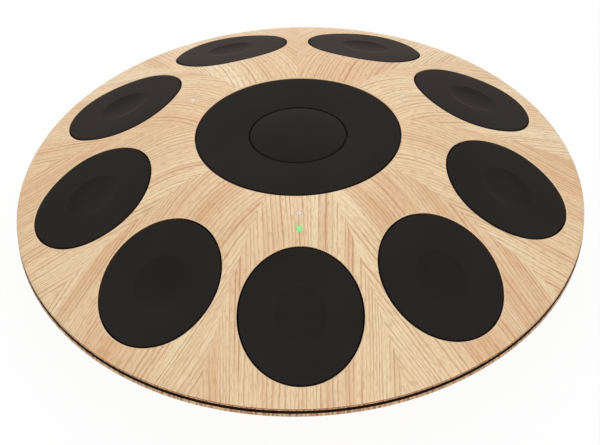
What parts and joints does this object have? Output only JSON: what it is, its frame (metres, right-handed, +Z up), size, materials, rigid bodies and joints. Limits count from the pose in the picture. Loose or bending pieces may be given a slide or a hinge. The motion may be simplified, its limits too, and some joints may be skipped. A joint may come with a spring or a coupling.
{
  "type": "digital handpan",
  "caption": "Lens-shaped veneered wooden body with a ring of oval silicone tone pads round a flat centre pad with a domed middle; speakers and a bass port face down.",
  "frame": {"origin": "centre of the bounding box at the undersides of the feet", "axes": "+Z up through the centre pad; -Y to the front, where the pair of lights is; +X to the player's right, where the control panel is"},
  "size_m": [0.5292, 0.53, 0.1426],
  "materials": {
    "ash_veneer": "satin lacquered pale ash veneer",
    "black_plastic": "fine matt texture",
    "black_silicone": "matt, soft touch",
    "grey_foam": "closed-cell foam, matt",
    "sensor_film": "amber film",
    "frosted_light": "frosted clear",
    "green_light": "frosted, lit green",
    "circuit_board": "solder mask",
    "plated_steel": "plated, satin",
    "cone_paper": "coated paper",
    "battery_wrap": "shrink film",
    "black_rubber": "moulded"
  },
  "bodies": {
    "root": {"upper_shell": "ash_veneer", "lower_shell": "ash_veneer", "rim_spacer": "black_plastic", "centre_tray": "black_plastic", "speaker_grille_left": "black_plastic", "speaker_grille_right": "black_plastic", "port_tube": "black_plastic", "control_panel": "black_plastic", "headphone_socket": "black_plastic", "pad_bed": "grey_foam", "pad_sensor_1": "sensor_film", "pad_sensor_2": "sensor_film", "pad_sensor_3": "sensor_film", "pad_sensor_4": "sensor_film", "pad_sensor_5": "sensor_film", "pad_sensor_6": "sensor_film", "pad_sensor_7": "sensor_film", "pad_sensor_8": "sensor_film", "pad_sensor_9": "sensor_film", "ring_sensor": "sensor_film", "dome_sensor": "sensor_film", "front_light_white": "frosted_light", "left_light": "frosted_light", "right_light": "frosted_light", "front_light_green": "green_light", "front_light_board": "circuit_board", "left_light_board": "circuit_board", "right_light_board": "circuit_board", "main_board": "circuit_board", "control_board": "circuit_board", "speaker_basket_left": "plated_steel", "speaker_basket_right": "plated_steel", "volume_encoder": "plated_steel", "charging_socket": "plated_steel", "shell_screw_1": "plated_steel", "shell_screw_2": "plated_steel", "shell_screw_3": "plated_steel", "shell_screw_4": "plated_steel", "shell_screw_5": "plated_steel", "shell_screw_6": "plated_steel", "speaker_cone_left": "cone_paper", "speaker_cone_right": "cone_paper", "battery_pack": "battery_wrap", "foot_1": "black_rubber", "foot_2": "black_rubber", "foot_3": "black_rubber", "foot_4": "black_rubber"},
    "tone_pad_1": {"tone_pad_1": "black_silicone"},
    "tone_pad_2": {"tone_pad_2": "black_silicone"},
    "tone_pad_3": {"tone_pad_3": "black_silicone"},
    "tone_pad_4": {"tone_pad_4": "black_silicone"},
    "tone_pad_5": {"tone_pad_5": "black_silicone"},
    "tone_pad_6": {"tone_pad_6": "black_silicone"},
    "tone_pad_7": {"tone_pad_7": "black_silicone"},
    "tone_pad_8": {"tone_pad_8": "black_silicone"},
    "tone_pad_9": {"tone_pad_9": "black_silicone"},
    "centre_ring_pad": {"centre_ring_pad": "black_silicone"},
    "centre_dome_pad": {"centre_dome_pad": "black_silicone"},
    "power_button": {"power_button": "black_rubber"},
    "volume_knob": {"volume_knob": "black_plastic"}
  },
  "joints": [
    {"name": "tone_pad_1_press", "type": "slide", "parent": "root", "child": "tone_pad_1", "axis": [0, -0.4633, 0.8862], "range_m": [-0.0005, 0], "stiffness_N_per_m": 4000, "springref_m": 0.0004},
    {"name": "tone_pad_2_press", "type": "slide", "parent": "root", "child": "tone_pad_2", "axis": [0.2978, -0.3549, 0.8862], "range_m": [-0.0005, 0], "stiffness_N_per_m": 4000, "springref_m": 0.0004},
    {"name": "tone_pad_3_press", "type": "slide", "parent": "root", "child": "tone_pad_3", "axis": [0.4563, -0.0804, 0.8862], "range_m": [-0.0005, 0], "stiffness_N_per_m": 4000, "springref_m": 0.0004},
    {"name": "tone_pad_4_press", "type": "slide", "parent": "root", "child": "tone_pad_4", "axis": [0.4012, 0.2316, 0.8862], "range_m": [-0.0005, 0], "stiffness_N_per_m": 4000, "springref_m": 0.0004},
    {"name": "tone_pad_5_press", "type": "slide", "parent": "root", "child": "tone_pad_5", "axis": [0.1585, 0.4354, 0.8862], "range_m": [-0.0005, 0], "stiffness_N_per_m": 4000, "springref_m": 0.0004},
    {"name": "tone_pad_6_press", "type": "slide", "parent": "root", "child": "tone_pad_6", "axis": [-0.1585, 0.4354, 0.8862], "range_m": [-0.0005, 0], "stiffness_N_per_m": 4000, "springref_m": 0.0004},
    {"name": "tone_pad_7_press", "type": "slide", "parent": "root", "child": "tone_pad_7", "axis": [-0.4012, 0.2316, 0.8862], "range_m": [-0.0005, 0], "stiffness_N_per_m": 4000, "springref_m": 0.0004},
    {"name": "tone_pad_8_press", "type": "slide", "parent": "root", "child": "tone_pad_8", "axis": [-0.4563, -0.0804, 0.8862], "range_m": [-0.0005, 0], "stiffness_N_per_m": 4000, "springref_m": 0.0004},
    {"name": "tone_pad_9_press", "type": "slide", "parent": "root", "child": "tone_pad_9", "axis": [-0.2978, -0.3549, 0.8862], "range_m": [-0.0005, 0], "stiffness_N_per_m": 4000, "springref_m": 0.0004},
    {"name": "centre_ring_pad_press", "type": "slide", "parent": "root", "child": "centre_ring_pad", "axis": [0, 0, 1], "range_m": [-0.0005, 0], "stiffness_N_per_m": 4000, "springref_m": 0.0005},
    {"name": "centre_dome_pad_press", "type": "slide", "parent": "root", "child": "centre_dome_pad", "axis": [0, 0, 1], "range_m": [-0.0005, 0], "stiffness_N_per_m": 4000, "springref_m": 0.0005},
    {"name": "power_button_press", "type": "slide", "parent": "root", "child": "power_button", "axis": [0.3616, 0, -0.9323], "range_m": [-0.0008, 0], "stiffness_N_per_m": 600, "springref_m": 0.0005},
    {"name": "volume_knob_turn", "type": "hinge", "parent": "root", "child": "volume_knob", "pos_m": [0.209, -0.0105, 0.02828], "axis": [0.3616, 0, -0.9323], "continuous": true}
  ]
}
